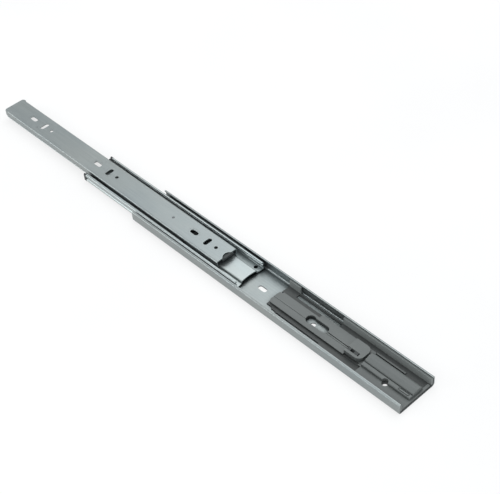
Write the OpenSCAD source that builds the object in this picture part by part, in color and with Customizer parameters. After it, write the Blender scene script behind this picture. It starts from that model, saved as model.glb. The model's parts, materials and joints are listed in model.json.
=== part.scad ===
// Full-extension ball-bearing drawer slide with a soft-close unit, lying on its cabinet face.
// X runs along the slide towards the front of the cabinet, Y across it, Z from the cabinet
// wall (0) to the drawer side (slide_t). The origin is the centre of the round fixing hole
// nearest the front of the cabinet rail, on the mounting face. All sizes in millimetres.

/* [Rails] */
// Length of the cabinet rail
cabinet_len = 350; // [346:1:356]
// Length of the intermediate rail
middle_len = 224.5; // [222:0.5:226]
// Length of the drawer rail
drawer_len = 345; // [343:1:346]
// Width of the cabinet rail over its raceways
slide_w = 45.5; // [45.3:0.1:45.7]
// Thickness of the closed slide
slide_t = 12.7; // [12.6:0.1:12.8]
// Sheet thickness of the rails
sheet = 1.2; // [1.1:0.05:1.25]

/* [Position at rest] */
// How far the intermediate rail stands out of the cabinet rail
middle_out = 79.5; // [10:0.5:125]
// How far the drawer rail stands out of the intermediate rail
drawer_out = 151.5; // [10:0.5:215]

/* [Ball races] */
// Diameter of the balls
ball_d = 4; // [3.9:0.05:4]
// Running clearance between a ball and its groove
race_gap = 0.05; // [0.03:0.01:0.08]
// Height of the ball centres above the mounting face
ball_z = 6.6; // [6.5:0.05:6.7]
// Distance of the outer ball rows from the centre line
outer_ball_y = 19.72; // [19.7:0.01:19.75]
// Distance of the inner ball rows from the centre line
inner_ball_y = 14.45; // [14.4:0.01:14.5]
// Length of the outer ball cages
outer_cage_len = 80; // [78:1:82]
// Length of the inner ball cages
inner_cage_len = 84; // [82:1:86]
// Number of balls in each cage
cage_balls = 7; // [5:1:7]

/* [Fixing holes] */
// Distance from the cabinet rail's front end to its first round hole, the origin
hole_setback = 41; // [40:0.5:42]
// Diameter of the round screw holes
screw_hole_d = 5.2; // [4.5:0.1:5.6]
// Length of the slotted screw holes, end to end
slot_len = 10; // [9:0.5:10]
// Width of the slotted screw holes
slot_w = 4.7; // [4:0.1:5]

/* [Soft-close unit] */
// Length of the plastic housing
housing_len = 171.5; // [170:0.5:172]
// Height of the housing's spine above the mounting face
spine_top = 4.3; // [4:0.1:4.4]
// Stroke of the soft-close catch
catch_stroke = 36; // [30:1:36]
// Diameter of the damper cylinder
damper_d = 7; // [6.6:0.1:7.2]
// Outer diameter of the closing spring
spring_d = 3; // [2.6:0.1:3.2]
// Number of coils in the closing spring
spring_turns = 26; // [16:1:32]

/* [Release lever] */
// Distance of the lever's pivot from the drawer rail's front end
lever_pivot_setback = 172; // [171:0.5:173]
// Distance of the lever's stop hook from the drawer rail's front end
lever_hook_setback = 233.3; // [233:0.1:234]

/* [Hidden] */

$fn = 48;
eps = 0.02;
bend_steps = 8;
zinc = [0.66, 0.69, 0.68];
plastic = [0.42, 0.44, 0.43];
black = [0.12, 0.13, 0.13];
steel = [0.78, 0.79, 0.80];

cabinet_x = hole_setback - cabinet_len;
middle_x = hole_setback + middle_out - middle_len;
drawer_x = hole_setback + middle_out + drawer_out - drawer_len;
half_w = slide_w / 2;
half_sheet = sheet / 2;

// Cage positions: closed distance from the parent rail's rear end, plus half the rail's travel
outer_cage_closed = 192;
inner_cage_closed = 4;
closed_drawer_out = 1.5;
outer_cage_x = cabinet_x + outer_cage_closed + middle_out / 2;
inner_cage_x = middle_x + inner_cage_closed + (drawer_out - closed_drawer_out) / 2;

// ---------- rolled sections ----------

function unit(v) = v / norm(v);
function left_of(v) = [-v[1], v[0]];
// Points of one bend: corner b between a and c, with the corner's centre-line radius b[2]
function bend(a, b, c) =
    let (pa = [a[0], a[1]], pb = [b[0], b[1]], pc = [c[0], c[1]])
    let (u = unit(pa - pb), v = unit(pc - pb), half = acos(u * v) / 2)
    let (reach = b[2] / tan(half), mid = pb + unit(u + v) * b[2] / sin(half))
    let (from = pb + u * reach - mid, to = pb + v * reach - mid)
    let (turn = (from[0] * to[1] - from[1] * to[0] > 0 ? 1 : -1) * (180 - 2 * half))
    [for (i = [0:bend_steps])
        let (s = turn * i / bend_steps)
        mid + [from[0] * cos(s) - from[1] * sin(s), from[0] * sin(s) + from[1] * cos(s)]];
// Centre line with its corners rounded
function rounded(path) = concat(
    [[path[0][0], path[0][1]]],
    [for (i = [1:len(path) - 2]) each bend(path[i - 1], path[i], path[i + 1])],
    [[path[len(path) - 1][0], path[len(path) - 1][1]]]);
// Direction across the centre line at point i, stretched so that the wall keeps its thickness
function across(p, i) =
    let (n = len(p) - 1)
    let (a = unit(p[i > 0 ? i : 1] - p[i > 0 ? i - 1 : 0]))
    let (b = unit(p[i < n ? i + 1 : n] - p[i < n ? i : n - 1]))
    left_of(unit(a + b)) / sqrt((1 + a * b) / 2);
// Closed outline of a sheet that follows a half centre line and its mirror image
function section(path, t) =
    let (half = rounded(path))
    let (whole = concat(
        [for (i = [len(half) - 1:-1:1]) [-half[i][0], half[i][1]]],
        [for (i = [1:len(half) - 1]) half[i]]))
    concat(
        [for (i = [0:len(whole) - 1]) whole[i] + across(whole, i) * t / 2],
        [for (i = [len(whole) - 1:-1:0]) whole[i] - across(whole, i) * t / 2]);

// Extrudes a [Y, Z] outline along X
module along_x(length) {
    rotate([90, 0, 90]) linear_extrude(length) children();
}
module box(low, high) {
    translate(low) cube(high - low);
}
module x_bore(r, x0, x1, y, z) {
    translate([x0, y, z]) rotate([0, 90, 0]) cylinder(r = r, h = x1 - x0);
}
module z_bore(r, x, y, z0, z1) {
    translate([x, y, z0]) cylinder(r = r, h = z1 - z0);
}
// Slot with round ends; its length runs along X, or along Y
module x_slot(len, width, x, y, z0, z1) {
    for (s = [-1, 1]) z_bore(width / 2, x + s * (len - width) / 2, y, z0, z1);
    box([x - (len - width) / 2, y - width / 2, z0], [x + (len - width) / 2, y + width / 2, z1]);
}
module y_slot(len, width, x, y, z0, z1) {
    for (s = [-1, 1]) z_bore(width / 2, x, y + s * (len - width) / 2, z0, z1);
    box([x - width / 2, y - (len - width) / 2, z0], [x + width / 2, y + (len - width) / 2, z1]);
}

// ---------- cabinet rail ----------

lip_z = 12 - half_sheet;
cabinet_path = [
    [0, half_sheet],
    [half_w - half_sheet, half_sheet, 2.6],
    [half_w - half_sheet, lip_z, 1.5],
    [half_w - 2.4, lip_z]];
below = -1;
web_top = sheet;
slit_w = 1.5;
tab_half_w = 10.3;
// Lanced tabs under the front two thirds: open end and closed end, from the rear of the rail
tab_ends = [[99, 133.3], [210, 244.4], [285, 318.3]];
// Distances from the rail's front end: round holes, slots
round_holes = [13, 41, 116, 227.5];
long_slots = [60, 89, 135, 162];
rear_hole_setback = 320.8;
rear_hole_y = 7.6;

module tab_slits(x0, x1, y, half_y) {
    closed = x1 > x0 ? x1 - slit_w / 2 : x1 + slit_w / 2;
    for (s = [-1, 1])
        box([min(x0, closed), y + s * half_y - slit_w / 2, below],
            [max(x0, closed), y + s * half_y + slit_w / 2, web_top + 1]);
    box([closed - slit_w / 2, y - half_y + 1.2, below],
        [closed + slit_w / 2, y + half_y + slit_w / 2, web_top + 1]);
}

module cabinet_rail() {
    front_stop_x = cabinet_len - 8.5;
    front_stop_y = 20.1;
    color(zinc) translate([cabinet_x, 0, 0]) difference() {
        union() {
            along_x(cabinet_len) polygon(section(cabinet_path, sheet));
            // Pressed stops that keep the ball cages in the rail
            for (s = [-1, 1]) z_bore(1, front_stop_x, s * front_stop_y, 0.6, 4.2);
        }
        for (s = [-1, 1]) x_bore(ball_d / 2 + race_gap, below, cabinet_len + 1, s * outer_ball_y, ball_z);
        for (d = round_holes) z_bore(screw_hole_d / 2, cabinet_len - d, 0, below, web_top + 1);
        for (d = long_slots) x_slot(slot_len, slot_w, cabinet_len - d, 0, below, web_top + 1);
        for (t = tab_ends) tab_slits(t[0], t[1], 0, tab_half_w);
        tab_slits(49, 20, rear_hole_y, 7.4);
        z_bore(2.5, cabinet_len - rear_hole_setback, rear_hole_y, below, web_top + 1);
        // Hole for the housing's locating peg, and a blind dimple behind it
        z_bore(peg_r, peg_x, 0, below, web_top + 1);
        z_bore(2.4, 88.2, 0, below, 0.35);
        for (s = [-1, 1]) z_bore(1.4, front_stop_x, s * front_stop_y, below, 0.5);
    }
}

// ---------- soft-close unit ----------

housing_x0 = 0.4;
floor_top = 2.1;
peg_r = 1.6;
peg_x = 104.6;
// Linings beside the rail's walls, the windows in them, and the skirt along their feet
lining_in = 19.1;
lining_out = 21;
lining_top = 9.6;
window = [103, 157];
skirt_y = [18.4, 19.2];
skirt_z = [1.6, 2.6];
// Spine: narrow in front of wide_spine_end, with a wider far half behind it
spine_half_w = 8.4;
spine_corner_r = 4;
spine_far_y = -12.6;
wide_spine_end = 122.5;
// Rear block with the damper, the spring and the rib
rear_block_x0 = 2;
rear_block_len = 57;
damper_y = -5.5;
damper_z = 5.2;
spring_y = 0.2;
spring_z = 6.1;
spring_x0 = 8.7;
rod_r = 0.8;
cover_wall = 0.45;
cover_crown_y = -2.6;
cover_crown_wall = 0.75;
cover_near_y = 0.9;
cover_near_z = 6.5;
cover_near_r = 1.9;
rib_y = 5.3;
rib_half_w = 2.3;
rib_top = 7;
rib_round_r = 1.2;
shelf_top = 4.2;
low_rib = [[24, -13.9], [57, -12.3]];
low_rib_top = 3.6;
end_wall = [[0.4, -17], [2.4, 15]];
// Groove in the rib's rear end: its centre, outer size and the island inside it
groove_x = 10;
groove_size = [12, 3];
island_size = [10.4, 1.4];
rear_screw_r = 2.7;
rear_head_r = 3.1;
// Keyhole: large end, narrower tail
key_x = 126.5;
key_y = -1.5;
key_r = 5;
key_tail_r = 4.15;
key_tail_x = 109.4;
key_neck_x = 122.5;
// T-slot of the catch slider: slot, undercut, and its two ends
guide_y = -0.6;
guide_x = [58, 116];
guide_half_w = 0.45;
undercut_half_w = 1.4;
undercut_z = [2.3, 3.3];
long_groove = [[78, 1], [172.5, 1.5]];
long_groove_depth = 0.35;
near_pocket = [[60, 6], [78, 9.4]];
near_pocket_low = 2.6;
// Troughs in the floor beside the spine, as long as the windows
far_trough = [-17.4, -13.2];
near_trough = [12.7, 13.9];
// Near front corner, stepped back twice, and the small step at the far front corner
corner_steps = [[158, 12.3, 18.4], [164, 10.6, 12.4]];
far_step = [3.4, 1.6];

function ends(a, b) = [min(a, b), max(a, b)];

// Smooth cover over the damper and the spring, flush with the top of the floor below
module rear_cover() {
    box([rear_block_x0, damper_y - damper_d / 2 - cover_wall, floor_top],
        [rear_block_len, cover_near_y + cover_near_r, damper_z]);
    intersection() {
        hull() {
            x_bore(damper_d / 2 + cover_wall, rear_block_x0, rear_block_len, damper_y, damper_z);
            x_bore(damper_d / 2 + cover_crown_wall, rear_block_x0, rear_block_len, cover_crown_y, damper_z);
            x_bore(cover_near_r, rear_block_x0, rear_block_len, cover_near_y, cover_near_z);
        }
        box([0, -lining_in, floor_top], [housing_len, lining_in, lining_top]);
    }
}

module rear_rib() {
    low = rib_top - rib_round_r;
    box([rear_block_x0, spring_y, floor_top], [rear_block_len, rib_y + rib_half_w, low]);
    hull() for (s = [-1, 1])
        x_bore(rib_round_r, rear_block_x0, rear_block_len, rib_y + s * (rib_half_w - rib_round_r), low);
}

module spine() {
    front = housing_len - spine_corner_r;
    box([rear_block_len, -spine_half_w, floor_top], [front, spine_half_w, spine_top]);
    box([rear_block_len, spine_far_y, floor_top], [wide_spine_end, spine_half_w, spine_top]);
    hull() for (s = [-1, 1])
        z_bore(spine_corner_r, front, s * (spine_half_w - spine_corner_r), floor_top, spine_top);
}

module damper_housing() {
    above = 10;
    color(plastic) translate([cabinet_x, 0, 0]) difference() {
        union() {
            box([housing_x0, -lining_in, web_top], [housing_len, lining_in, floor_top]);
            // Linings that clip under the lips of the cabinet rail, open at the windows
            for (s = [-1, 1]) {
                lining = ends(s * lining_in, s * lining_out);
                skirt = ends(s * skirt_y[0], s * skirt_y[1]);
                box([housing_x0, lining[0], floor_top], [window[0], lining[1], lining_top]);
                box([window[1], lining[0], floor_top], [housing_len, lining[1], lining_top]);
                box([housing_x0, skirt[0], skirt_z[0]], [housing_len, skirt[1], skirt_z[1]]);
            }
            spine();
            rear_cover();
            rear_rib();
            // Shelf at the near side, a low rib along the far side of the cover, and the end wall
            box([housing_x0, rib_y, floor_top], [rear_block_len, lining_in, shelf_top]);
            box([low_rib[0][0], low_rib[0][1], floor_top], [low_rib[1][0], low_rib[1][1], low_rib_top]);
            box([end_wall[0][0], end_wall[0][1], web_top], [end_wall[1][0], end_wall[1][1], shelf_top]);
            z_bore(peg_r - 0.1, peg_x, 0, 0.2, floor_top);
        }
        x_bore(damper_d / 2, damper_x0 - 0.2, rear_block_len + 1, damper_y, damper_z);
        x_bore(spring_d / 2 + 0.15, spring_x0, rear_block_len + 1, spring_y, spring_z);
        // Capsule-shaped groove in the rear end of the rib
        difference() {
            x_slot(groove_size[0], groove_size[1], groove_x, rib_y, rib_top - 0.9, above);
            x_slot(island_size[0], island_size[1], groove_x, rib_y, 0, above + 1);
        }
        // Rear screw hole, with room for the screw's head
        z_bore(rear_screw_r, cabinet_len - rear_hole_setback, rear_hole_y, 0, above);
        z_bore(rear_head_r, cabinet_len - rear_hole_setback, rear_hole_y, 3, above);
        // Screwdriver keyhole over the rail's round hole, with its slot
        z_bore(key_r, key_x, key_y, 0, above);
        for (x = [key_neck_x, key_tail_x]) z_bore(key_tail_r, x, key_y, 1, above);
        box([key_tail_x, key_y - key_tail_r, 1], [key_neck_x, key_y + key_tail_r, above]);
        // T-slot that guides the catch slider
        box([guide_x[0], guide_y - guide_half_w, undercut_z[1]], [guide_x[1], guide_y + guide_half_w, above]);
        box([guide_x[0], guide_y - undercut_half_w, undercut_z[0]],
            [guide_x[1], guide_y + undercut_half_w, undercut_z[1]]);
        // Long guide groove, pocket at the near side, and troughs beside the windows
        box([long_groove[0][0], long_groove[0][1], spine_top - long_groove_depth],
            [long_groove[1][0], long_groove[1][1], above]);
        box([near_pocket[0][0], near_pocket[0][1], near_pocket_low],
            [near_pocket[1][0], near_pocket[1][1], above]);
        for (y = [far_trough, near_trough]) box([window[0], y[0], 1], [window[1], y[1], 3]);
        for (c = corner_steps) box([c[0], c[1], 1], [housing_len + 1, c[2], 3]);
        box([housing_len - far_step[0], -spine_half_w - 1, 1],
            [housing_len + 1, -spine_half_w + far_step[1], above]);
    }
}

damper_x0 = 3.8;
damper_bore = [5.8, 53];
damper_bore_r = 2.4;
neck_len = 2;
crimp_x = [12, 51];

module damper_cylinder() {
    neck = rear_block_len - neck_len;
    color(plastic) translate([cabinet_x, 0, 0]) difference() {
        union() {
            x_bore(damper_d / 2 - 0.05, damper_x0, neck, damper_y, damper_z);
            x_bore(damper_d / 2 - 1, neck, rear_block_len, damper_y, damper_z);
        }
        x_bore(damper_bore_r, damper_bore[0], damper_bore[1], damper_y, damper_z);
        x_bore(rod_r + 0.05, damper_bore[1] - 1, rear_block_len + 1, damper_y, damper_z);
        for (x = crimp_x) translate([x, damper_y, damper_z]) rotate([0, 90, 0])
            rotate_extrude() translate([damper_d / 2 - 0.3, 0]) square([1, 0.8]);
    }
}

slider = [59.5, 78];
slider_low_y = -10.8;
slider_high_y = 7;
slider_corner_r = 6;
slider_top = 8.6;
slider_low = spine_top + 0.15;
slider_key = [slider[0] + 2, slider[1] - 2];
piston_x = [6.6, 9.6];
rod_reach = 2.4;

module piston_rod() {
    color(steel) translate([cabinet_x, 0, 0]) union() {
        x_bore(damper_bore_r - 0.05, piston_x[0], piston_x[1], damper_y, damper_z);
        x_bore(rod_r, piston_x[1] - 0.6, slider[0] + rod_reach, damper_y, damper_z);
    }
}

// Close-wound helix with a straight hook at each end
module closing_spring() {
    wire_r = 0.28;
    coil_r = spring_d / 2 - wire_r;
    x0 = 9;
    x1 = slider[0] - 1.5;
    per_turn = 10;
    sides = 5;
    steps = spring_turns * per_turn;
    lead = (x1 - x0) / steps;
    ring = [for (i = [0:steps], k = [0:sides - 1])
        let (a = 360 * i / per_turn, b = 360 * k / sides, r = coil_r + wire_r * cos(b))
        [x0 + lead * i + wire_r * sin(b), r * cos(a), r * sin(a)]];
    rear_cap = [[for (k = [sides - 1:-1:0]) k]];
    front_cap = [[for (k = [0:sides - 1]) steps * sides + k]];
    skin = [for (i = [0:steps - 1], k = [0:sides - 1], upper = [false, true])
        let (a = i * sides, n = (k + 1) % sides)
        upper ? [a + k, a + sides + n, a + sides + k] : [a + k, a + n, a + sides + n]];
    color(steel) translate([cabinet_x, spring_y, spring_z])
        polyhedron(points = ring, faces = concat(rear_cap, skin, front_cap), convexity = 10);
}

hook_x = 71.5;
hook_y = 2.6;
hook_half_w = 1.7;
hook_pin_x = 67;
hook_pin_z = 6.7;

module catch_slider() {
    color(plastic) translate([cabinet_x, 0, 0]) difference() {
        union() {
            hull() {
                for (y = [slider_low_y + slider_corner_r, slider_high_y - slider_corner_r])
                    z_bore(slider_corner_r, slider[0] + slider_corner_r, y, slider_low, slider_top);
                box([slider[1] - 1, slider_low_y, slider_low], [slider[1], slider_high_y, slider_top]);
            }
            // T-shaped key that runs in the housing's slot
            box([slider_key[0], guide_y - 0.35, 2.8], [slider_key[1], guide_y + 0.35, spine_top + 1]);
            box([slider_key[0], guide_y - 1.2, 2.4], [slider_key[1], guide_y + 1.2, 3.2]);
        }
        // Space for the hook, its pin and the striker
        box([slider[0] + 4.5, hook_y - hook_half_w - 0.15, spine_top],
            [slider[1] + 1, hook_y + hook_half_w + 0.15, 10]);
        translate([hook_pin_x, hook_y + 6, hook_pin_z]) rotate([90, 0, 0]) cylinder(r = 0.82, h = 10);
        x_bore(rod_r, slider[0] - 1, slider[0] + rod_reach, damper_y, damper_z);
        x_bore(spring_d / 2 + 0.2, slider[0] - 1, slider[0] + 1.2, spring_y, spring_z);
    }
}

// Rocker whose front horn drops out of the striker's way when the catch is armed
module catch_hook() {
    near = hook_y - hook_half_w;
    far = hook_y + hook_half_w;
    rear = hook_pin_x - 1.9;
    front = slider[1] - 1.2;
    low = 5.4;
    high = slider_top - 0.2;
    color(black) translate([cabinet_x, 0, 0]) difference() {
        union() {
            box([rear, near, low], [front, far, low + 0.6]);
            box([rear, near, low], [hook_x - 2, far, high]);
            box([hook_x + 2, near, low], [front, far, high]);
        }
        translate([hook_pin_x, hook_y + 6, hook_pin_z]) rotate([90, 0, 0]) cylinder(r = 0.85, h = 12);
    }
}

module catch_pin() {
    color(steel) translate([cabinet_x + hook_pin_x, hook_y + 3.4, hook_pin_z])
        rotate([90, 0, 0]) cylinder(r = 0.8, h = 6.7);
}

// ---------- ball cages ----------

function ball_pitch(length) = (length - 14) / (cage_balls - 1);

module cage(x, y, length, half_height) {
    thick = 1;
    low = ball_z - half_height;
    high = ball_z + half_height;
    color(black) difference() {
        hull() for (dx = [1.5, length - 1.5], z = [low + 1.5, high - 1.5])
            translate([x + dx, y + thick / 2, z]) rotate([90, 0, 0]) cylinder(r = 1.5, h = thick, $fn = 32);
        for (i = [0:cage_balls - 1])
            translate([x + 7 + i * ball_pitch(length), y + thick, ball_z]) rotate([90, 0, 0])
                cylinder(r = ball_d / 2 + 0.02, h = 2 * thick);
    }
}
module balls(x, y, length) {
    color(steel) for (i = [0:cage_balls - 1])
        translate([x + 7 + i * ball_pitch(length), y, ball_z]) sphere(d = ball_d);
}
module outer_cage_near() { cage(outer_cage_x, outer_ball_y, outer_cage_len, 3.1); }
module outer_cage_far() { cage(outer_cage_x, -outer_ball_y, outer_cage_len, 3.1); }
module outer_balls_near() { balls(outer_cage_x, outer_ball_y, outer_cage_len); }
module outer_balls_far() { balls(outer_cage_x, -outer_ball_y, outer_cage_len); }
module inner_cage_near() { cage(inner_cage_x, inner_ball_y, inner_cage_len, 2.6); }
module inner_cage_far() { cage(inner_cage_x, -inner_ball_y, inner_cage_len, 2.6); }
module inner_balls_near() { balls(inner_cage_x, inner_ball_y, inner_cage_len); }
module inner_balls_far() { balls(inner_cage_x, -inner_ball_y, inner_cage_len); }

// ---------- intermediate rail ----------

raised_z = 5.3;
strip_z = 3;
middle_wall_y = 18.15;
middle_race_y = 17.1;
middle_lip_z = 10.7;
middle_path = [
    [0, raised_z],
    [9, raised_z, 1],
    [10.2, strip_z, 1],
    [middle_wall_y, strip_z, 1.1],
    [middle_wall_y, 4.6, 0.8],
    [middle_race_y, 5.4, 0.8],
    [middle_race_y, 7.8, 0.8],
    [middle_wall_y, 8.6, 0.8],
    [middle_wall_y, middle_lip_z, 1.1],
    [middle_wall_y - 1.9, middle_lip_z]];
stop_hole = [middle_len - 15.5, middle_len - 6.5];

module intermediate_rail() {
    color(zinc) translate([middle_x, 0, 0]) difference() {
        along_x(middle_len) polygon(section(middle_path, sheet));
        for (s = [-1, 1]) {
            x_bore(ball_d / 2 + race_gap, below, middle_len + 1, s * outer_ball_y, ball_z);
            x_bore(ball_d / 2 + race_gap, below, middle_len + 1, s * inner_ball_y, ball_z);
            // Stop holes at the rear, and rounded rear corners of the walls
            z_bore(2.1, 6.5, s * 13.9, below, 5);
            translate([-1, s * middle_wall_y, 12.6]) rotate([0, 45, 0]) cube([4, 5, 4], center = true);
        }
        // Shallow arc in the rear edge
        z_bore(60, -58.4, 0, below, 8);
        // Access window over the release lever
        hull() for (dx = [-61, -32], y = [-3, 3]) z_bore(2, middle_len + dx, y, below, 8);
        // D-shaped opening that holds the bumper
        intersection() {
            z_bore(11.5, stop_hole[1] - 11.5, 0, below, 8);
            box([stop_hole[0], -12, below], [stop_hole[1] + 1, 12, 8]);
        }
    }
}

module intermediate_bumper() {
    nose = 3.2;
    horn_len = 24;
    color(black) translate([middle_x, 0, 0]) union() {
        // Plug in the D-shaped opening, with the stop for the lever's hook
        intersection() {
            z_bore(11.2, stop_hole[1] - 11.5, 0, strip_z, raised_z + half_sheet);
            box([stop_hole[0] + 0.3, -8.2, 0], [stop_hole[1] + 1, 8.2, 8]);
        }
        box([middle_len - 13, -3.5, raised_z], [middle_len - 11.4, 3.5, 7.6]);
        box([middle_len - 12.7, -8.2, raised_z + half_sheet], [middle_len + nose, 8.2, 6.9]);
        // Bar across the front end
        hull() for (s = [-1, 1]) x_bore(0.7, middle_len + 0.05, middle_len + nose, s * 17.9, 3.1);
        box([middle_len + 0.05, -9.4, 3.1], [middle_len + nose, 9.4, 6.9]);
        // Horns inside and in front of the side walls
        for (s = [-1, 1]) {
            hull() for (z = [3.6, 10]) x_bore(1.15, middle_len + 0.05, middle_len + nose, s * 17.6, z);
            hull() for (z = [5.2, 8.9]) x_bore(0.9, middle_len - horn_len, middle_len + nose, s * 15.2, z);
            box([middle_len + 0.05, s > 0 ? 15 : -17.8, 4.6], [middle_len + nose, s > 0 ? 17.8 : -15, 9.4]);
        }
    }
}

// ---------- drawer rail ----------

drawer_half_w = 13;
drawer_wall_y = drawer_half_w - half_sheet;
drawer_race_y = 11.85;
drawer_low = 4.95;
drawer_path = [
    [0, slide_t - half_sheet],
    [drawer_wall_y, slide_t - half_sheet, 1.4],
    [drawer_wall_y, 9.4, 0.8],
    [drawer_race_y, 8.4, 0.8],
    [drawer_race_y, 5.6, 0.8],
    [drawer_wall_y, drawer_low]];
// Distances of the three hole groups from the front end, and of the holes within a group
hole_groups = [38, 149, 299];
cross_slot_step = 19;
small_hole_step = 31;
rear_notch_r = 6.4;
rear_notch_depth = 3;
coin_margin = 1.6;
coin_depth = 0.12;
lever_rivet_r = 2.1;
end_r = 3.4;
end_low = 7.4;
striker_rivet_setback = 268;

module drawer_rail() {
    web_low = slide_t - sheet - 1;
    color(zinc) translate([drawer_x, 0, 0]) difference() {
        union() {
            along_x(drawer_len - end_r) polygon(section(drawer_path, sheet));
            // Drawn front end: the web turns down into a closed, rounded end wall
            difference() {
                hull() for (s = [-1, 1]) {
                    z_bore(end_r, drawer_len - end_r, s * (drawer_half_w - end_r), end_low, slide_t);
                    box([drawer_len - end_r - 1, s > 0 ? drawer_half_w - 1 : -drawer_half_w, end_low],
                        [drawer_len - end_r, s > 0 ? drawer_half_w : 1 - drawer_half_w, slide_t]);
                }
                hull() for (s = [-1, 1]) {
                    inner = drawer_half_w - sheet;
                    z_bore(end_r - sheet, drawer_len - end_r, s * (drawer_half_w - end_r), 0, slide_t - sheet);
                    box([drawer_len - end_r - 2, s > 0 ? drawer_half_w - 3 : -inner, 0],
                        [drawer_len - end_r, s > 0 ? inner : 3 - drawer_half_w, slide_t - sheet]);
                }
            }
        }
        for (s = [-1, 1])
            x_bore(ball_d / 2 + race_gap, below, drawer_len - end_r - 2, s * inner_ball_y, ball_z);
        for (d = hole_groups) {
            x_slot(slot_len, slot_w, drawer_len - d, 0, web_low, slide_t + 1);
            y_slot(slot_len, slot_w, drawer_len - d - cross_slot_step, 0, web_low, slide_t + 1);
            z_bore(1.9, drawer_len - d - small_hole_step, 0, web_low, slide_t + 1);
            // Coined flat around the screw slot
            x_slot(slot_len + 2 * coin_margin, slot_w + 2 * coin_margin, drawer_len - d, 0,
                slide_t - coin_depth, slide_t + 1);
        }
        z_bore(rear_notch_r, rear_notch_depth - rear_notch_r, 0, web_low, slide_t + 1);
        z_bore(0.9, drawer_len - 52, 6.5, slide_t - 0.4, slide_t + 1);
        z_bore(1.5, drawer_len - striker_rivet_setback, 0, web_low, slide_t + 1);
        z_bore(lever_rivet_r, drawer_len - lever_pivot_setback, 4, web_low, slide_t + 1);
    }
}

module drawer_rear_buffer() {
    color(black) translate([drawer_x, 0, 0]) difference() {
        union() {
            box([1.5, -9.8, 9.8], [11, 9.8, slide_t - sheet]);
            box([-1.4, -6.5, 9.8], [2, 6.5, slide_t - sheet]);
            hull() for (s = [-1, 1]) z_bore(1.5, 0, s * 3, 9.8, slide_t - 0.6);
        }
        z_bore(2.2, 15, 0, 9, 13);
    }
}

module release_lever() {
    low = 8;
    high = 10.4;
    hook_low = 6.3;
    pivot_x = drawer_len - lever_pivot_setback;
    hook_front = drawer_len - lever_hook_setback;
    color(black) translate([drawer_x, 0, 0]) difference() {
        union() {
            // Head with finger tab, around the pivot
            hull() {
                z_bore(4, pivot_x, 4, low, high);
                z_bore(3, pivot_x + 8, -4.5, low, high);
            }
            box([pivot_x + 3, -7.2, low - 0.7], [pivot_x + 10, -5, high]);
            // Arm and stop hook
            hull() {
                z_bore(2, pivot_x - 2, 3, low, high);
                z_bore(1.3, hook_front + 2, -0.2, low, high);
            }
            box([hook_front - 3, -2, hook_low], [hook_front, 1.2, high]);
            box([hook_front - 3, -2, low], [hook_front + 3, 1.2, high]);
            // Leaf that springs the lever back
            hull() {
                z_bore(0.5, pivot_x - 4, 6.6, low, high);
                z_bore(0.5, pivot_x - 18, 8.4, low, high);
            }
            hull() for (x = [pivot_x - 4, pivot_x - 1]) z_bore(0.6, x, 6.4, low, high);
        }
        z_bore(1.65, pivot_x, 4, 0, 12);
    }
}

module lever_rivet() {
    pivot_x = drawer_len - lever_pivot_setback;
    color(steel) translate([drawer_x, 0, 0]) union() {
        z_bore(1.6, pivot_x, 4, 7.3, slide_t - sheet);
        z_bore(lever_rivet_r - 0.05, pivot_x, 4, slide_t - sheet - eps, slide_t - 0.25);
        z_bore(2.8, pivot_x, 4, 7.2, 7.9);
    }
}

// Strap under the drawer rail's web; its tongue is what the catch takes hold of
striker_tongue_setback = 280;
module striker() {
    strap_top = slide_t - sheet;
    rivet_x = drawer_len - striker_rivet_setback;
    tongue_x = drawer_len - striker_tongue_setback;
    color(steel) translate([drawer_x, 0, 0]) difference() {
        union() {
            box([tongue_x - 1.2, hook_y - 1.5, strap_top - 1.2], [rivet_x + 6, hook_y + 1.5, strap_top]);
            hull() for (x = [rivet_x - 5, rivet_x + 5]) z_bore(3.6, x, 0, strap_top - 1.2, strap_top);
            box([tongue_x - 1.2, hook_y - 1.5, 6.3], [tongue_x + 1.2, hook_y + 1.5, strap_top]);
        }
        z_bore(1.5, rivet_x, 0, 9, 12);
    }
}
module striker_rivet() {
    rivet_x = drawer_len - striker_rivet_setback;
    color(steel) translate([drawer_x, 0, 0]) union() {
        z_bore(1.45, rivet_x, 0, slide_t - sheet - 1.6, slide_t - 0.1);
        z_bore(2.6, rivet_x, 0, slide_t - sheet - 2.2, slide_t - sheet - 1.2);
    }
}

cabinet_rail();
damper_housing();
damper_cylinder();
piston_rod();
closing_spring();
catch_slider();
catch_hook();
catch_pin();
outer_cage_near();
outer_cage_far();
outer_balls_near();
outer_balls_far();
intermediate_rail();
intermediate_bumper();
inner_cage_near();
inner_cage_far();
inner_balls_near();
inner_balls_far();
drawer_rail();
drawer_rear_buffer();
release_lever();
lever_rivet();
striker();
striker_rivet();
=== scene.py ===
"""Looks of the ball-bearing drawer slide: finished shells, materials, lights and camera.

Metres, in the frame's own axes: X along the slide towards its front, Y across it, Z up from the
cabinet face. Each CAD solid is replaced by a finished copy whose edges are broken as the real
press tool or mould leaves them. The balls are built anew as even spheres, and the closing spring
as a wound wire.
"""
import json
import math

import bmesh
import bpy
from mathutils import Matrix, Quaternion, Vector


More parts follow.
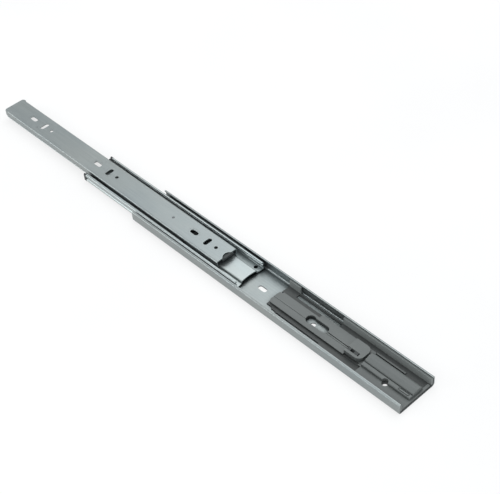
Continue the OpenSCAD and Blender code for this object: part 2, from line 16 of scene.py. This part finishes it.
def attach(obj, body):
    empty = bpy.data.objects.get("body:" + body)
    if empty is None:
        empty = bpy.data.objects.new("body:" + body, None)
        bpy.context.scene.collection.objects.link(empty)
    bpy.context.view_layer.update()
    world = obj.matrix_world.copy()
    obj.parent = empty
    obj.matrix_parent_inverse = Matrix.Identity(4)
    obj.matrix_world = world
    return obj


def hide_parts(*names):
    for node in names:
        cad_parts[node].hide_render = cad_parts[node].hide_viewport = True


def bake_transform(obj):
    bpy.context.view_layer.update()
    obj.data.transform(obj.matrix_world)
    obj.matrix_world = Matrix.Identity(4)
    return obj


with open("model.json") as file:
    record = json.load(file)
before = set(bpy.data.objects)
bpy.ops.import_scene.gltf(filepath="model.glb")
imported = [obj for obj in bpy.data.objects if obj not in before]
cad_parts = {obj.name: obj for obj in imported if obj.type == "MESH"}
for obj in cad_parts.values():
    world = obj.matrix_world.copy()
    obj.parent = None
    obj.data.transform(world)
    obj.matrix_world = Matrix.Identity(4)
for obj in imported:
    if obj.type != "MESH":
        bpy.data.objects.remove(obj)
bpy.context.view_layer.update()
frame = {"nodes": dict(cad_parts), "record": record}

MM = 0.001

SLOT_OF = {part["node"]: part["material_slot"] for part in frame["record"]["subparts"]}
BODY_OF = {
    node: body
    for body, nodes in frame["record"]["behaviour"]["bodies"].items()
    for node in nodes
}


# ---------- material graphs ----------

# Most of a noise texture's values lie between these two
NOISE_LOW, NOISE_HIGH = 0.3, 0.7
# Cosines of the turn between a face and its rounded edge: fully worn, and not worn at all
WORN_TURN, FLAT_TURN = 0.80, 0.995


class Graph:
    """A material's node tree with short ways to add nodes and join sockets."""

    def __init__(self, name):
        self.material = bpy.data.materials.new(name)
        self.material.use_nodes = True
        self.tree = self.material.node_tree
        self.tree.nodes.clear()
        self.shader = self.node("ShaderNodeBsdfPrincipled")
        output = self.node("ShaderNodeOutputMaterial")
        self.join(self.shader.outputs["BSDF"], output.inputs["Surface"])
        self.place = self.node("ShaderNodeTexCoord").outputs["Object"]

    def node(self, kind, **settings):
        made = self.tree.nodes.new(kind)
        for key, value in settings.items():
            setattr(made, key, value)
        return made

    def join(self, source, target):
        self.tree.links.new(source, target)

    def feed(self, target, value):
        """Puts a number, a colour or another node's output on a socket."""
        if isinstance(value, bpy.types.NodeSocket):
            self.join(value, target)
        else:
            target.default_value = value

    def set(self, **values):
        """Feeds the shader's inputs, an underscore standing for the space in a name."""
        for key, value in values.items():
            self.feed(self.shader.inputs[key.replace("_", " ")], value)

    def noise(self, feature, detail, stretch=(1, 1, 1)):
        """Noise with features of the given size in metres, made longer by each axis's stretch."""
        mapping = self.node("ShaderNodeMapping")
        mapping.inputs["Scale"].default_value = [1 / (feature * s) for s in stretch]
        self.join(self.place, mapping.inputs["Vector"])
        noise = self.node("ShaderNodeTexNoise")
        noise.inputs["Scale"].default_value = 1.0
        noise.inputs["Detail"].default_value = detail
        self.join(mapping.outputs["Vector"], noise.inputs["Vector"])
        return noise.outputs["Fac"]

    def spread(self, value, low, high, start=NOISE_LOW, end=NOISE_HIGH):
        """Maps start..end of a value onto low..high."""
        span = self.node("ShaderNodeMapRange")
        span.inputs["From Min"].default_value = start
        span.inputs["From Max"].default_value = end
        span.inputs["To Min"].default_value = low
        span.inputs["To Max"].default_value = high
        self.join(value, span.inputs["Value"])
        return span.outputs["Result"]

    def maths(self, operation, a, b):
        made = self.node("ShaderNodeMath", operation=operation)
        self.feed(made.inputs[0], a)
        self.feed(made.inputs[1], b)
        return made.outputs["Value"]

    def times(self, a, b):
        return self.maths("MULTIPLY", a, b)

    def blend(self, factor, a, b):
        """Colour a where the factor is 0, colour b where it is 1."""
        made = self.node("ShaderNodeMix", data_type="RGBA", blend_type="MIX")
        factor_socket, a_socket, b_socket = made.inputs[0], made.inputs[6], made.inputs[7]
        self.feed(factor_socket, factor)
        self.feed(a_socket, a)
        self.feed(b_socket, b)
        return made.outputs[2]

    def edges(self, radius):
        """1 on edges within the radius, 0 on flat surfaces."""
        bevel = self.node("ShaderNodeBevel", samples=4)
        bevel.inputs["Radius"].default_value = radius
        normal = self.node("ShaderNodeNewGeometry").outputs["Normal"]
        turn = self.node("ShaderNodeVectorMath", operation="DOT_PRODUCT")
        self.join(bevel.outputs["Normal"], turn.inputs[0])
        self.join(normal, turn.inputs[1])
        return self.spread(turn.outputs["Value"], 1.0, 0.0, WORN_TURN, FLAT_TURN)

    def hollows(self, distance):
        """1 in the open, towards 0 deep in corners and channels."""
        shade = self.node("ShaderNodeAmbientOcclusion", samples=6)
        shade.inputs["Distance"].default_value = distance
        return shade.outputs["AO"]

    def along(self, axis):
        """The place's coordinate along one axis, in metres."""
        parts = self.node("ShaderNodeSeparateXYZ")
        self.join(self.place, parts.inputs["Vector"])
        return parts.outputs[axis]

    def low_down(self, full, clear):
        """1 up to the full height, fading to 0 at the clear height."""
        return self.spread(self.along("Z"), 1.0, 0.0, full, clear)

    def out_wide(self, inside, outside):
        """0 up to the inside distance from the slide's centre line, 1 from the outside one on."""
        return self.spread(self.maths("ABSOLUTE", self.along("Y"), 0), 0.0, 1.0, inside, outside)

    def bump(self, height, strength, distance):
        made = self.node("ShaderNodeBump")
        made.inputs["Strength"].default_value = strength
        made.inputs["Distance"].default_value = distance
        self.join(height, made.inputs["Height"])
        self.join(made.outputs["Normal"], self.shader.inputs["Normal"])


def rgb(colour, tone=1.0):
    """A linear colour, made darker or lighter by its tone, as a colour socket takes it."""
    red, green, blue = (part * tone for part in colour)
    return (red, green, blue, 1.0)


# ---------- materials ----------

# How far the painted shade in corners and channels reaches
HOLLOW_REACH = 0.007
# Heights where the painted shade starts to fade and where it has gone
FLOOR_SHADOW_HEIGHTS = (1.3 * MM, 1.8 * MM)
PLASTIC_HOLLOW_SHADE = (3.5 * MM, 9.0 * MM)
PLASTIC_TROUGH_SHADE = (2.2 * MM, 3.9 * MM)
# Distances from the centre line between which the housing's linings, lightened with painted light,
# begin
LININGS = (18.7 * MM, 19.1 * MM)

ZINC_COOL = (0.275, 0.312, 0.318)
ZINC_WARM = (0.318, 0.342, 0.334)
ZINC_STREAK = (0.44, 0.47, 0.47)
ZINC_CORNER_SHADE = (0.070, 0.092, 0.105)
ZINC_FLOOR_SHADOW = (0.012, 0.017, 0.019)
ZINC_WORN = (0.52, 0.56, 0.56)
STEEL_DULL = (0.40, 0.42, 0.43)
STEEL_CLEAR = (0.54, 0.56, 0.57)
WIRE_BLUE = (0.36, 0.39, 0.43)
WIRE_PALE = (0.52, 0.53, 0.54)
FLOOR_DARK = (0.19, 0.19, 0.19)
FLOOR_LIGHT = (0.22, 0.22, 0.218)
FLOOR_GLOW = 0.70


def zinc_steel(name, tone):
    """Zinc-plated strip: rolling lines along the slide, a slow drift of tint, worn bright edges.

    Its corners are darkened with painted shade, and painted shadow makes the cabinet rail's floor
    nearly black where parts cover it.
    """
    g = Graph(name)
    drift = g.noise(0.035, detail=3, stretch=(2.5, 1, 1))
    streaks = g.noise(0.0009, detail=3, stretch=(45, 1, 1))
    grain = g.noise(0.00025, detail=2, stretch=(8, 1, 1))
    colour = g.blend(g.spread(drift, 0, 1), rgb(ZINC_COOL, tone), rgb(ZINC_WARM, tone))
    colour = g.blend(g.spread(streaks, 0, 0.24), colour, rgb(ZINC_STREAK))

    hollow = g.hollows(HOLLOW_REACH)
    # Painted shade: corners and channels darken with their ambient occlusion
    corner_shade = g.spread(hollow, 0.42, 0, start=0.25, end=0.85)
    colour = g.blend(corner_shade, colour, rgb(ZINC_CORNER_SHADE, tone))
    # Painted shadow: deep hollows on the low floor, under the parts that cover it, turn nearly
    # black
    floor_shadow = g.spread(hollow, 0.95, 0, start=0.52, end=0.90)
    colour = g.blend(g.times(floor_shadow, g.low_down(*FLOOR_SHADOW_HEIGHTS)), colour, rgb(ZINC_FLOOR_SHADOW))

    worn = g.times(g.edges(0.0004), g.spread(g.noise(0.004, detail=4), 0.35, 1.0))
    colour = g.blend(g.times(worn, 0.6), colour, rgb(ZINC_WORN))
    g.set(Base_Color=colour, Metallic=0.92)
    g.set(Roughness=g.maths("ADD", g.spread(streaks, 0.34, 0.45), g.spread(grain, -0.04, 0.05)))
    g.bump(g.maths("ADD", streaks, g.times(grain, 0.4)), strength=0.26, distance=0.00003)
    return g.material


def moulded(name, dark, light, roughness, skin, painted_lining_light=0.0):
    """Injection-moulded plastic: fine spark-eroded skin, faint flow marks, worn pale edges.

    Skin is the strength of the fine texture. The last argument is how strongly painted light
    lightens the linings beside the cabinet rail's walls. Hollows and the low floor get painted
    shade.
    """
    g = Graph(name)
    flow = g.noise(0.02, detail=3, stretch=(3, 1, 1))
    speck = g.noise(0.0005, detail=2)
    colour = g.blend(g.spread(flow, 0, 1), rgb(dark), rgb(light))
    # Worn edges lighten to this colour, and the painted light on the linings uses it too
    worn_and_lit = rgb([min(1.0, part * 1.9 + 0.02) for part in light])
    worn = g.times(g.edges(0.0005), g.spread(g.noise(0.003, detail=3), 0.1, 0.6))
    colour = g.blend(worn, colour, worn_and_lit)

    # Painted shade: deep hollows, fading out with height, and the whole low floor darken towards
    # this colour
    painted_shade = rgb(dark, 0.22)
    hollow = g.spread(g.hollows(HOLLOW_REACH), 1.0, 0, start=0.15, end=0.90)
    colour = g.blend(g.times(hollow, g.low_down(*PLASTIC_HOLLOW_SHADE)), colour, painted_shade)
    colour = g.blend(g.times(g.low_down(*PLASTIC_TROUGH_SHADE), 0.7), colour, painted_shade)
    # Painted light: the linings beside the cabinet rail's walls are lightened
    if painted_lining_light:
        colour = g.blend(g.times(g.out_wide(*LININGS), painted_lining_light), colour, worn_and_lit)
    g.set(Base_Color=colour, Roughness=g.spread(speck, roughness - 0.05, roughness + 0.07))
    g.bump(speck, strength=skin, distance=0.00004)
    return g.material


def bright_steel(name, tone):
    """Ground balls, rod and rivets: a mirror finish under a thin smear of grease."""
    g = Graph(name)
    smear = g.noise(0.0012, detail=3)
    g.set(Base_Color=g.blend(g.spread(smear, 0, 1), rgb(STEEL_DULL, tone), rgb(STEEL_CLEAR, tone)))
    g.set(Metallic=1.0, Roughness=g.spread(smear, 0.16, 0.34))
    g.bump(smear, strength=0.08, distance=0.00002)
    return g.material


def spring_steel():
    """Drawn wire: fine lines and a slightly blue patina."""
    g = Graph("spring_steel")
    drawn = g.noise(0.0002, detail=3)
    patina = g.noise(0.004, detail=2)
    g.set(Base_Color=g.blend(g.spread(patina, 0, 1), rgb(WIRE_BLUE), rgb(WIRE_PALE)))
    g.set(Metallic=1.0, Roughness=g.spread(drawn, 0.24, 0.38))
    g.bump(drawn, strength=0.15, distance=0.00002)
    return g.material


def pale_floor():
    """Matt white light table: it glows a little, so that the slide's holes show white."""
    g = Graph("pale_floor")
    cloud = g.noise(0.25, detail=3)
    g.set(Base_Color=g.blend(g.spread(cloud, 0, 1), rgb(FLOOR_DARK), rgb(FLOOR_LIGHT)))
    g.set(Roughness=g.spread(cloud, 0.78, 0.9))
    g.set(Emission_Color=rgb((1, 1, 1)), Emission_Strength=FLOOR_GLOW)
    g.bump(g.noise(0.002, detail=2), strength=0.05, distance=0.0001)
    return g.material


MATERIALS = {
    "zinc_steel": zinc_steel("zinc_steel", tone=0.92),
    "damper_plastic": moulded(
        "damper_plastic", dark=(0.090, 0.100, 0.098), light=(0.110, 0.120, 0.117),
        roughness=0.52, skin=0.25, painted_lining_light=0.6,
    ),
    "black_plastic": moulded(
        "black_plastic", dark=(0.016, 0.020, 0.020), light=(0.024, 0.029, 0.029),
        roughness=0.55, skin=0.2,
    ),
    "bright_steel": bright_steel("bright_steel", tone=1.0),
    "spring_steel": spring_steel(),
}
# Each rail's zinc gets its own tone: painted shade darkens the cabinet rail and painted light
# lightens the intermediate rail. The lever's rivet is plated like the rails, and the striker's is
# dark with oil.
OWN_FINISH = {
    "cabinet_rail": zinc_steel("zinc_steel_cabinet", tone=0.82),
    "intermediate_rail": zinc_steel("zinc_steel_intermediate", tone=1.24),
    "lever_rivet": zinc_steel("zinc_plated_rivet", tone=0.92),
    "striker_rivet": bright_steel("bright_steel_oiled", tone=0.3),
}


# ---------- finished copies of the CAD nodes ----------

# Vertices nearer than the first are one, and edges shorter than the second have no length
WELD = 2e-6
TOUCH = 1e-6
# Faces that meet at less than this are one flat face
FLAT_ANGLE = math.radians(0.6)
# Edges that turn by more than the first are broken, and by more than the second are shaded sharp
BROKEN_ANGLE = math.radians(32)
SHARP_ANGLE = math.radians(40)

# The radius that each node's edges are broken with
PRESSED_EDGE = 0.12 * MM
EDGE_WIDTH = {
    "damper_housing": 0.22 * MM,
    "catch_slider": 0.4 * MM,
    "intermediate_bumper": 0.25 * MM,
    "release_lever": 0.2 * MM,
    "drawer_rear_buffer": 0.3 * MM,
}
EDGE_SEGMENTS = 2

# Nodes whose long faces are cut up, along two lines a hair off the holes' middles and across at
# every step
PARTED_NODES = (
    "cabinet_rail",
    "intermediate_rail",
    "drawer_rail",
    "damper_housing",
    "release_lever",
)
CUT_LINES = (0.013 * MM, 7.63 * MM)
CUT_STEP = 23.7 * MM


def parted(bm):
    """Cuts long flat faces into short lengths, so that none wraps round a hole."""
    xs = [vert.co.x for vert in bm.verts]
    rear, front = min(xs), max(xs)
    stations = [rear + CUT_STEP * k for k in range(1, int((front - rear) / CUT_STEP) + 1)]
    planes = [(Vector((0, y, 0)), Vector((0, 1, 0))) for y in CUT_LINES]
    planes += [(Vector((x, 0, 0)), Vector((1, 0, 0))) for x in stations]
    for place, normal in planes:
        everything = list(bm.verts) + list(bm.edges) + list(bm.faces)
        bmesh.ops.bisect_plane(bm, geom=everything, dist=TOUCH, plane_co=place, plane_no=normal)


def welded(node):
    """The CAD node's mesh, open for editing, with its triangles' corners joined."""
    bm = bmesh.new()
    bm.from_mesh(frame["nodes"][node].data)
    bmesh.ops.remove_doubles(bm, verts=bm.verts, dist=WELD)
    return bm


def clean_copy(node):
    """The CAD node's surface as closed polygons instead of triangles."""
    bm = welded(node)
    bmesh.ops.dissolve_limit(bm, angle_limit=FLAT_ANGLE, verts=bm.verts, edges=bm.edges)
    if node in PARTED_NODES:
        parted(bm)
    bmesh.ops.recalc_face_normals(bm, faces=bm.faces)
    plain = bpy.data.meshes.new(node + "_finished")
    bm.to_mesh(plain)
    bm.free()
    return plain


def settle(piece):
    """Applies the piece's modifiers, so that the final mesh holds them."""
    bpy.context.view_layer.update()
    graph = bpy.context.evaluated_depsgraph_get()
    final = bpy.data.meshes.new_from_object(piece.evaluated_get(graph))
    piece.modifiers.clear()
    piece.data = final


def bevelled(piece, width):
    """Breaks the piece's edges."""
    bevel = piece.modifiers.new("edges", "BEVEL")
    bevel.width = width
    bevel.segments = EDGE_SEGMENTS
    bevel.limit_method = "ANGLE"
    bevel.angle_limit = BROKEN_ANGLE
    bevel.miter_outer = "MITER_ARC"
    bevel.use_clamp_overlap = True
    settle(piece)
    bm = bmesh.new()
    bm.from_mesh(piece.data)
    bmesh.ops.dissolve_degenerate(bm, dist=TOUCH, edges=bm.edges)
    bm.to_mesh(piece.data)
    bm.free()


def shaded(piece):
    """Smooth shading that leaves large flat faces flat and sharp edges crisp."""
    piece.data.shade_smooth()
    piece.data.set_sharp_from_angle(angle=SHARP_ANGLE)
    weigh = piece.modifiers.new("normals", "WEIGHTED_NORMAL")
    weigh.mode = "FACE_AREA"
    weigh.weight = 90
    weigh.keep_sharp = True
    settle(piece)


def finished(node):
    """A copy of a CAD node with broken edges and its own material, riding where the node rides."""
    slot = SLOT_OF[node]
    piece = bpy.data.objects.new(node + "_finished", clean_copy(node))
    bpy.context.scene.collection.objects.link(piece)
    bevelled(piece, EDGE_WIDTH.get(node, PRESSED_EDGE))
    shaded(piece)
    piece.data.materials.clear()
    piece.data.materials.append(OWN_FINISH.get(node, MATERIALS[slot]))
    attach(piece, BODY_OF[node])
    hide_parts(node)


# ---------- balls and spring ----------

BALL_NODES = [node for node in frame["nodes"] if "balls" in node]
SPRING_NODE = "closing_spring"

# The spring's axis as Y and Z, its two ends as X, and its wire
SPRING_AXIS = (0.2 * MM, 6.1 * MM)
SPRING_ENDS = (-300.0 * MM, -251.0 * MM)
HOOK_LENGTH = 2.2 * MM
HOOK_STEPS = 10
COIL_RADIUS = 1.22 * MM
WIRE_RADIUS = 0.28 * MM
TURNS = 26
STEPS_PER_TURN = 20
WIRE_SIDES = 8


def new_piece(name, bm, node):
    """A built mesh that stands for a CAD node, with the node's own material."""
    mesh = bpy.data.meshes.new(name)
    bm.to_mesh(mesh)
    bm.free()
    mesh.shade_smooth()
    piece = bpy.data.objects.new(name, mesh)
    bpy.context.scene.collection.objects.link(piece)
    mesh.materials.append(MATERIALS[SLOT_OF[node]])
    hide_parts(node)
    return piece


def islands(node):
    """Centre and radius of each separate ball in a CAD node, from the rear forwards."""
    bm = welded(node)
    unseen = set(bm.verts)
    found = []
    while unseen:
        stack = [unseen.pop()]
        group = list(stack)
        while stack:
            for edge in stack.pop().link_edges:
                for vert in edge.verts:
                    if vert in unseen:
                        unseen.discard(vert)
                        stack.append(vert)
                        group.append(vert)
        places = [vert.co for vert in group]
        low = Vector([min(place[i] for place in places) for i in range(3)])
        high = Vector([max(place[i] for place in places) for i in range(3)])
        found.append(((low + high) / 2, max(high - low) / 2))
    bm.free()
    return sorted(found, key=lambda ball: ball[0].x)


def ball_row(node):
    """Ground balls as even spheres without poles."""
    bm = bmesh.new()
    for centre, radius in islands(node):
        place = Matrix.Translation(centre)
        bmesh.ops.create_icosphere(bm, subdivisions=4, radius=radius, matrix=place)
    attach(new_piece(node + "_ground", bm, node), BODY_OF[node])


def spring_path():
    """Centre line of the wire: a hook across the axis at each end, and close coils between."""
    rear, front = SPRING_ENDS
    first, last = rear + HOOK_LENGTH, front - HOOK_LENGTH
    total = TURNS * STEPS_PER_TURN
    y, z = SPRING_AXIS

    def hook(base, sign):
        """Half a loop that stands in the plane of the axis, from the coil's last point."""
        points = []
        for i in range(1, HOOK_STEPS + 1):
            turn = math.pi * i / HOOK_STEPS
            x = base + sign * COIL_RADIUS * math.sin(turn)
            points.append(Vector((x, y + COIL_RADIUS * math.cos(turn), z)))
        return points

    coils = []
    for i in range(total + 1):
        turn = 2 * math.pi * i / STEPS_PER_TURN
        x = first + (last - first) * i / total
        across, up = COIL_RADIUS * math.cos(turn), COIL_RADIUS * math.sin(turn)
        coils.append(Vector((x, y + across, z + up)))
    return list(reversed(hook(first, -1))) + coils + hook(last, 1)


def tube(path, radius, sides):
    """Closed tube along a path, its rings square to the path."""
    bm = bmesh.new()
    rings = []
    side = Vector((0, 0, 1))
    for i, point in enumerate(path):
        ahead = (path[min(i + 1, len(path) - 1)] - path[max(i - 1, 0)]).normalized()
        side = (side - ahead * side.dot(ahead)).normalized()
        up = ahead.cross(side)
        ring = []
        for k in range(sides):
            turn = 2 * math.pi * k / sides
            spoke = side * math.cos(turn) + up * math.sin(turn)
            ring.append(bm.verts.new(point + spoke * radius))
        rings.append(ring)
    for ring, following in zip(rings, rings[1:]):
        for k in range(sides):
            n = (k + 1) % sides
            bm.faces.new((ring[k], ring[n], following[n], following[k]))
    bm.faces.new(list(reversed(rings[0])))
    bm.faces.new(rings[-1])
    bmesh.ops.recalc_face_normals(bm, faces=bm.faces)
    return bm


def closing_spring():
    """The wound spring, built in place between its two ends."""
    wound = tube(spring_path(), WIRE_RADIUS, WIRE_SIDES)
    piece = new_piece("closing_spring_wound", wound, SPRING_NODE)
    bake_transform(piece)


for node in frame["nodes"]:
    if node in BALL_NODES:
        ball_row(node)
    elif node == SPRING_NODE:
        closing_spring()
    else:
        finished(node)


# ---------- stage ----------

# The table top's half width, and how far it lies below the cabinet face, so that they don't meet
TABLE_HALF = 6.0
TABLE_DROP = 0.05 * MM

SKY_COLOUR = (0.93, 0.97, 1.0)
SKY_STRENGTH = 0.72
# Name, place, aim, size and watts of each area light
LIGHTS = (
    ("overhead", (-0.1, -0.2, 1.6), (-0.05, 0, 0), (2.4, 2.4), 12),
    ("far_panel", (0.45, -1.0, 1.3), (-0.2, 0, 0), (1.3, 1.3), 7),
    ("near_softbox", (-0.5, 0.9, 1.1), (-0.1, 0, 0), (0.9, 0.9), 6),
    ("edge_light", (0.95, 1.25, 0.75), (-0.05, 0, 0), (1.2, 0.5), 7),
)

CAMERA_PLACE = Vector((-0.7246, 0.5142, 0.8285))
CAMERA_AIM = Vector((-0.0759, -0.0270, 0.0060))
# Degrees of roll, and millimetres of focal length on a sensor of that width
CAMERA_ROLL = -5.18
CAMERA_LENS = 88.9
SENSOR_WIDTH = 36
CLIP_NEAR, CLIP_FAR = 0.01, 50


def facing(place, aim):
    """The turn that points a light or camera from its place at its aim."""
    return (Vector(aim) - Vector(place)).to_track_quat("-Z", "Y")


def floor():
    """A wide table top under the slide."""
    half = TABLE_HALF
    bm = bmesh.new()
    corners = ((-half, -half), (half, -half), (half, half), (-half, half))
    bm.faces.new([bm.verts.new((x, y, 0)) for x, y in corners])
    mesh = bpy.data.meshes.new("table_top")
    bm.to_mesh(mesh)
    bm.free()
    top = bpy.data.objects.new("table_top", mesh)
    top.location.z = -TABLE_DROP
    bpy.context.scene.collection.objects.link(top)
    mesh.materials.append(pale_floor())


def soft_light(name, place, aim, size, watts):
    lamp = bpy.data.lights.new(name, "AREA")
    lamp.shape = "RECTANGLE"
    lamp.size, lamp.size_y = size
    lamp.energy = watts
    light = bpy.data.objects.new(name, lamp)
    light.location = place
    light.rotation_euler = facing(place, aim).to_euler()
    bpy.context.scene.collection.objects.link(light)


def studio():
    """A pale sky and the area lights."""
    world = bpy.data.worlds.new("studio")
    bpy.context.scene.world = world
    world.use_nodes = True
    sky = world.node_tree.nodes["Background"]
    sky.inputs["Color"].default_value = rgb(SKY_COLOUR)
    sky.inputs["Strength"].default_value = SKY_STRENGTH
    for light in LIGHTS:
        soft_light(*light)
    bpy.context.scene.view_settings.view_transform = "Standard"


def camera():
    data = bpy.data.cameras.new("camera")
    data.sensor_width = SENSOR_WIDTH
    data.lens = CAMERA_LENS
    data.clip_start, data.clip_end = CLIP_NEAR, CLIP_FAR
    eye = bpy.data.objects.new("camera", data)
    eye.location = CAMERA_PLACE
    eye.rotation_mode = "QUATERNION"
    roll = Quaternion((0, 0, 1), math.radians(CAMERA_ROLL))
    eye.rotation_quaternion = facing(CAMERA_PLACE, CAMERA_AIM) @ roll
    bpy.context.scene.collection.objects.link(eye)
    bpy.context.scene.camera = eye


floor()
studio()
camera()
